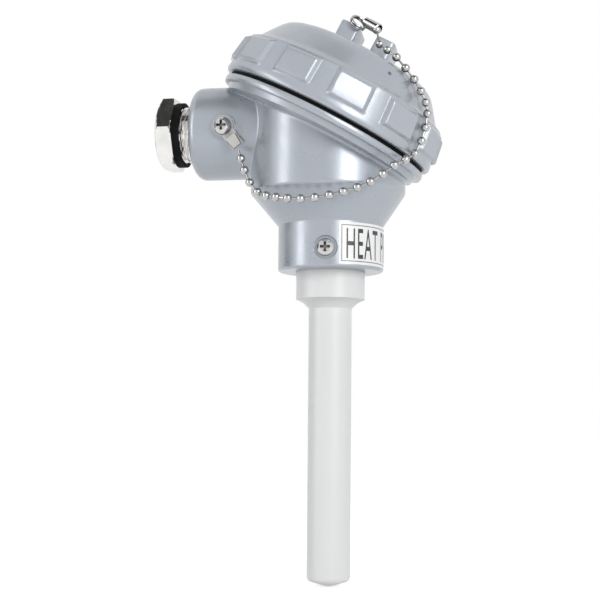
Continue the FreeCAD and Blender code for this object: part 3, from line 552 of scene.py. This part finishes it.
# how far a grip pad stands out of the skirt, turn in degrees from the pad's middle
def padReach(radius, height, turn):
    if height >= capShape["skirtTop"] or radius <= capShape["skirtInside"]:
        return 0
    low, faceLow, faceHigh, high = capShape["padHeights"]
    face, foot = capShape["padAngles"]
    upright = min(softStep((height - low) / (faceLow - low)), softStep((high - height) / (high - faceHigh)))
    across = softStep((foot - abs(turn)) / (foot - face))
    flat = (radius + capShape["padStand"]) / math.cos(math.radians(turn)) - radius
    return flat * min(upright, across)


# rounded upright box beside the crown slot
def addPost(verts, faces, side):
    c = crownShape
    middle = side * (c["inner"] + c["outer"]) / 2
    half = (c["outer"] - c["inner"]) / 2
    drop, pull = c["edgeMiddle"]
    levels = [(c["low"], 0), (c["top"] - c["edge"], 0), (c["top"] - drop, pull), (c["top"], c["edge"])]
    rows = []
    for height, inset in levels:
        row = []
        for quarter, (sx, sy) in enumerate(((1, 1), (-1, 1), (-1, -1), (1, -1))):
            facesOut = sx * side > 0
            corner = (c["corner"] if facesOut else c["slotCorner"]) - inset / 2
            for step in range(c["cornerSteps"] + 1):
                angle = math.radians(90 * (quarter + step / c["cornerSteps"]))
                x = middle + sx * (half - inset - corner) + corner * math.cos(angle)
                y = sy * (c["reach"] - inset - corner) + corner * math.sin(angle)
                row.append(onCrown(x, y, height))
        rows.append(row)
    first = addGrid(verts, faces, rows)
    count = len(rows[0])
    faces.append(tuple(first + (len(rows) - 1) * count + k for k in range(count)))


# points round the cap as (a pad's middle, degrees from it), close together at the pads' edges
def padTurns():
    face, foot = capShape["padAngles"]
    half = 180 / capShape["padCount"]
    offsets = [
        -half, -half + 2, -foot - 0.6, -foot, -foot + 0.4, -(face + foot) / 2,
        -face - 0.4, -face, -face + 0.5, -4, 0,
    ]
    offsets += [-turn for turn in reversed(offsets[1:-1])]
    middles = [capShape["padFirst"] + 2 * half * k for k in range(capShape["padCount"])]
    return [(middle, turn) for middle in middles for turn in offsets]


def makeCap():
    turns = padTurns()
    rows = []
    for radius, height in capShape["outer"] + capShape["inner"]:
        row = []
        for pad, turn in turns:
            reach = radius + padReach(radius, height, turn)
            angle = math.radians(pad + turn)
            row.append(onCrown(reach * math.sin(angle), -reach * math.cos(angle), height))
        rows.append(row)
    verts, faces = wrapGrid(rows)
    addPost(verts, faces, -1)
    addPost(verts, faces, 1)
    cap = newPiece("capShell", verts, faces, paint, 32)
    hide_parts("cap")
    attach(cap, "cap_body")
    print("cap with its grip pads and crown")


spotSizes = {
    "turn": 34.9,
    "radius": 31.4,
    "height": 21.6,
    "size": 0.62 * mm,
    "uneven": 0.12,
    "foot": 1.15,
    "depth": 0.06 * mm,
    "points": 20,
}


# the small dark spot on the dome, a thin blot of old grime on the paint
def makeSpot():
    s = spotSizes
    count = s["points"]
    angle = math.radians(s["turn"] - capSizes["clock"])
    middle = onCrown(s["radius"] * math.sin(angle), -s["radius"] * math.cos(angle), s["height"])
    shell = bpy.data.objects["capShell"]
    _, place, normal, _ = shell.closest_point_on_mesh(middle)
    side = normal.orthogonal().normalized()
    up = normal.cross(side)
    top = place + normal * s["depth"]
    verts = [top]
    verts += ringRow(top, count, lambda a: s["size"] * (1 + s["uneven"] * math.sin(3 * a)), side, up)
    verts += ringRow(place, count, s["size"] * s["foot"], side, up)
    faces = []
    for k in range(count):
        faces.append((0, k + 1, (k + 1) % count + 1))
    for k in range(count):
        n = (k + 1) % count
        faces.append((k + 1, k + 1 + count, n + 1 + count, n + 1))
    grimeAndShade = makeFilm("grimeAndShade", (0.13, 0.14, 0.16), 0.6)
    piece = newPiece("domeSpot", verts, faces, grimeAndShade)
    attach(piece, "cap_body")


makeCap()
makeSpot()


ringSizes = {  # millimetres and directions in the cap's own axes
    "radius": 2.8,
    "wire": 0.38,
    "wirePoints": 10,
    "gap": 0.8,
    "turns": 1.92,
    "steps": 110,
    "lean": 50,
    "place": (-4.65, -8.7, 35.8),
    "across": (0.926, 0, -0.378),
    "upright": (0.378, 0, 0.926),
}


def makeSplitRing():
    ring = ringSizes
    first = Vector(ring["across"])
    lean = math.radians(ring["lean"])
    second = Vector(ring["upright"]) * math.cos(lean) + Vector((0, 1, 0)) * math.sin(lean)
    axis = first.cross(second)
    count = ring["wirePoints"]
    rows = []
    for step in range(ring["steps"] + 1):
        part = step / ring["steps"]
        angle = 2 * math.pi * ring["turns"] * part
        along = ring["gap"] * ring["turns"] * (part - 0.5)
        out = first * math.cos(angle) + second * math.sin(angle)
        place = onCrown(*(Vector(ring["place"]) + out * ring["radius"] + axis * along))
        rows.append(ringRow(place, count, ring["wire"] * mm, capTurn @ out, capTurn @ axis))
    verts, faces = wrapGrid(rows, closed=False)
    faces.append(tuple(range(count)))
    faces.append(tuple(reversed(range(len(verts) - count, len(verts)))))
    piece = newPiece("splitRing", verts, faces, beadNickelPaintedShade, 50)
    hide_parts("chain_ring")
    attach(piece, "cap_body")
    print("split ring")


makeSplitRing()


labelSizes = {
    "radius": 18.535 * mm,
    "start": 18.0,
    "length": 35.0 * mm,
    "low": 14.0 * mm,
    "high": 28.3 * mm,
    "frame": 0.28 * mm,
    "inset": 0.9 * mm,
    "bendStep": 0.6 * mm,  # longest straight bit of a line round the neck
    "letters": "HEAT PROBE",
    "letterHeight": 10.3 * mm,
    "letterNarrow": 0.36,
    "letterStart": 2.3 * mm,
    "letterWeight": 0.004,
    "letterSpace": 1.14,
    "letterCuts": 60,  # upright cuts that let the letters bend round the neck
    "cutStep": 0.12,  # in letter heights
}


# along is the way round the neck from the label's left end
def onNeck(along, level):
    angle = math.radians(labelSizes["start"]) + along / labelSizes["radius"]
    return Vector((labelSizes["radius"] * math.sin(angle), -labelSizes["radius"] * math.cos(angle), level))


def makeLabelFrame():
    s = labelSizes
    lineInk = makeFilm("lineInk", (0.16, 0.165, 0.17), 0.4)
    verts, faces = [], []

    def strip(left, right, low, high):
        steps = max(1, int((right - left) / s["bendStep"]))
        for k in range(steps + 1):
            along = left + (right - left) * k / steps
            verts.append(onNeck(along, low))
            verts.append(onNeck(along, high))
            if k:
                n = len(verts)
                faces.append((n - 4, n - 2, n - 1, n - 3))

    left, right = s["inset"], s["length"] - s["inset"]
    low, high = s["low"] + s["inset"], s["high"] - s["inset"]
    strip(left, right, low, low + s["frame"])
    strip(left, right, high - s["frame"], high)
    strip(left, left + s["frame"], low, high)
    strip(right - s["frame"], right, low, high)
    frameLine = newPiece("labelFrame", verts, faces, lineInk)
    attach(frameLine, "head")


def makeLetters():
    s = labelSizes
    ink = makeFilm("labelInk", (0.035, 0.036, 0.038), 0.4)
    curve = bpy.data.curves.new("letters", "FONT")
    curve.body = s["letters"]
    curve.size = 1
    curve.offset = s["letterWeight"]
    curve.space_character = s["letterSpace"]
    holder = bpy.data.objects.new("letters", curve)
    scene.collection.objects.link(holder)
    bpy.context.view_layer.update()
    mesh = bpy.data.meshes.new_from_object(holder.evaluated_get(bpy.context.evaluated_depsgraph_get()))
    bpy.data.objects.remove(holder)
    fine = bmesh.new()
    fine.from_mesh(mesh)
    scale = s["letterHeight"] / max(v.co.y for v in fine.verts)
    for cut in range(1, s["letterCuts"]):
        geom = fine.verts[:] + fine.edges[:] + fine.faces[:]
        bmesh.ops.bisect_plane(fine, geom=geom, plane_co=(cut * s["cutStep"], 0, 0), plane_no=(1, 0, 0))
    base = (s["low"] + s["high"] - s["letterHeight"]) / 2
    for v in fine.verts:
        v.co = onNeck(s["letterStart"] + v.co.x * scale * s["letterNarrow"], base + v.co.y * scale)
    fine.to_mesh(mesh)
    fine.free()
    mesh.materials.clear()
    mesh.materials.append(ink)
    letters = bpy.data.objects.new("labelLetters", mesh)
    scene.collection.objects.link(letters)
    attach(letters, "head")
    print("label printed")


makeLabelFrame()
makeLetters()


cameraView = {
    "place": (0.075775, -0.446870, -0.035922),
    "right": (0.98185, 0.18941, 0.00940),
    "up": (0.00707, -0.08611, 0.99626),
    "ahead": (-0.18951, 0.97812, 0.08588),
    "lens": 78.0,
    "sensor": 36,
    "nearest": 10 * mm,
}


def makeCamera():
    view = cameraView
    camera = bpy.data.objects.new("camera", bpy.data.cameras.new("camera"))
    scene.collection.objects.link(camera)
    camera.data.lens = view["lens"]
    camera.data.sensor_width = view["sensor"]
    camera.data.clip_start = view["nearest"]
    turn = Matrix((Vector(view["right"]), Vector(view["up"]), -Vector(view["ahead"]))).transposed()
    camera.matrix_world = Matrix.Translation(view["place"]) @ turn.to_4x4()
    scene.camera = camera


# 1 for rays from the camera and for those that were mirrored or went through
def seenRays(tree):
    path = tree.nodes.new("ShaderNodeLightPath")
    total = path.outputs["Is Camera Ray"]
    for name in ("Is Glossy Ray", "Is Transmission Ray"):
        both = tree.nodes.new("ShaderNodeMath")
        both.operation = "MAXIMUM"
        tree.links.new(total, both.inputs[0])
        tree.links.new(path.outputs[name], both.inputs[1])
        total = both.outputs[0]
    return total


def newCard(name, halfWidth, halfHeight, mat):
    mesh = bpy.data.meshes.new(name)
    w, h = halfWidth, halfHeight
    mesh.from_pydata([(-w, -h, 0), (w, -h, 0), (w, h, 0), (-w, h, 0)], [], [(0, 1, 2, 3)])
    mesh.materials.append(mat)
    card = bpy.data.objects.new(name, mesh)
    scene.collection.objects.link(card)
    return card


floorSizes = {"level": -95.5 * mm, "half": 3, "colour": (0.84, 0.84, 0.84), "glow": 0.62}


def makeFloor():
    mat, tree, shader = newMaterial("floorWhite", floorSizes["colour"], 0.8)
    roughen(tree, shader, noise(tree, 30), 0.7, 0.9)
    shader.inputs["Emission Color"].default_value = (1, 1, 1, 1)
    glow = tree.nodes.new("ShaderNodeMath")
    glow.operation = "MULTIPLY"
    glow.inputs[1].default_value = floorSizes["glow"]
    tree.links.new(seenRays(tree), glow.inputs[0])
    tree.links.new(glow.outputs[0], shader.inputs["Emission Strength"])
    floor = newCard("floor", floorSizes["half"], floorSizes["half"], mat)
    floor.location.z = floorSizes["level"]


worldLook = {"soft": (0.97, 0.985, 1), "softStrength": 0.45, "seen": (1, 1, 1)}


# bluish soft light on the shape, plain white where the world itself is seen
def makeWorld():
    world = bpy.data.worlds.new("studio")
    world.use_nodes = True
    scene.world = world
    tree = world.node_tree
    tree.nodes.clear()
    out = tree.nodes.new("ShaderNodeOutputWorld")
    soft = tree.nodes.new("ShaderNodeBackground")
    seen = tree.nodes.new("ShaderNodeBackground")
    soft.inputs["Color"].default_value = (*worldLook["soft"], 1)
    soft.inputs["Strength"].default_value = worldLook["softStrength"]
    seen.inputs["Color"].default_value = (*worldLook["seen"], 1)
    mix = tree.nodes.new("ShaderNodeMixShader")
    tree.links.new(seenRays(tree), mix.inputs[0])
    tree.links.new(soft.outputs[0], mix.inputs[1])
    tree.links.new(seen.outputs[0], mix.inputs[2])
    tree.links.new(mix.outputs[0], out.inputs["Surface"])


# place, target, width, height, power
lamps = {
    "keyLamp": ((0.62, -0.75, 0.26), (0, 0, 0.08), 0.46, 0.5, 4.9),
    "sideLamp": ((-0.7, -0.42, 0.0), (0, 0, 0.0), 0.2, 1.2, 3.4),
}
# place, target, width, height
flags = {
    "leftFlag": ((-0.8, 0.1, 0.05), (0, 0, 0.06), 0.35, 0.9),
    "topFlag": ((-0.05, -0.32, 0.9), (0, 0, 0.06), 0.9, 0.55),
    "frontFlag": ((0.3, -1.3, -0.05), (0, 0, 0.06), 0.45, 0.5),
}


def makeLamp(name, place, target, width, height, power):
    lamp = bpy.data.lights.new(name, "AREA")
    lamp.shape = "RECTANGLE"
    lamp.size = width
    lamp.size_y = height
    lamp.energy = power
    holder = bpy.data.objects.new(name, lamp)
    holder.location = place
    holder.rotation_euler = (Vector(target) - Vector(place)).to_track_quat("-Z", "Y").to_euler()
    scene.collection.objects.link(holder)


# dark card for the metal to mirror, out of the camera's sight
def makeFlag(name, place, target, width, height):
    mat, tree, shader = newMaterial(name, (0.03, 0.03, 0.03), 0.8)
    roughen(tree, shader, noise(tree, 20), 0.7, 0.9)
    flag = newCard(name, width / 2, height / 2, mat)
    flag.location = place
    flag.rotation_euler = (Vector(target) - Vector(place)).to_track_quat("Z", "Y").to_euler()
    flag.visible_camera = False
    flag.visible_shadow = False
    flag.visible_diffuse = False


makeCamera()
makeFloor()
makeWorld()
scene.view_settings.view_transform = "Standard"
for name, values in lamps.items():
    makeLamp(name, *values)
for name, values in flags.items():
    makeFlag(name, *values)
print("camera, floor and light placed")
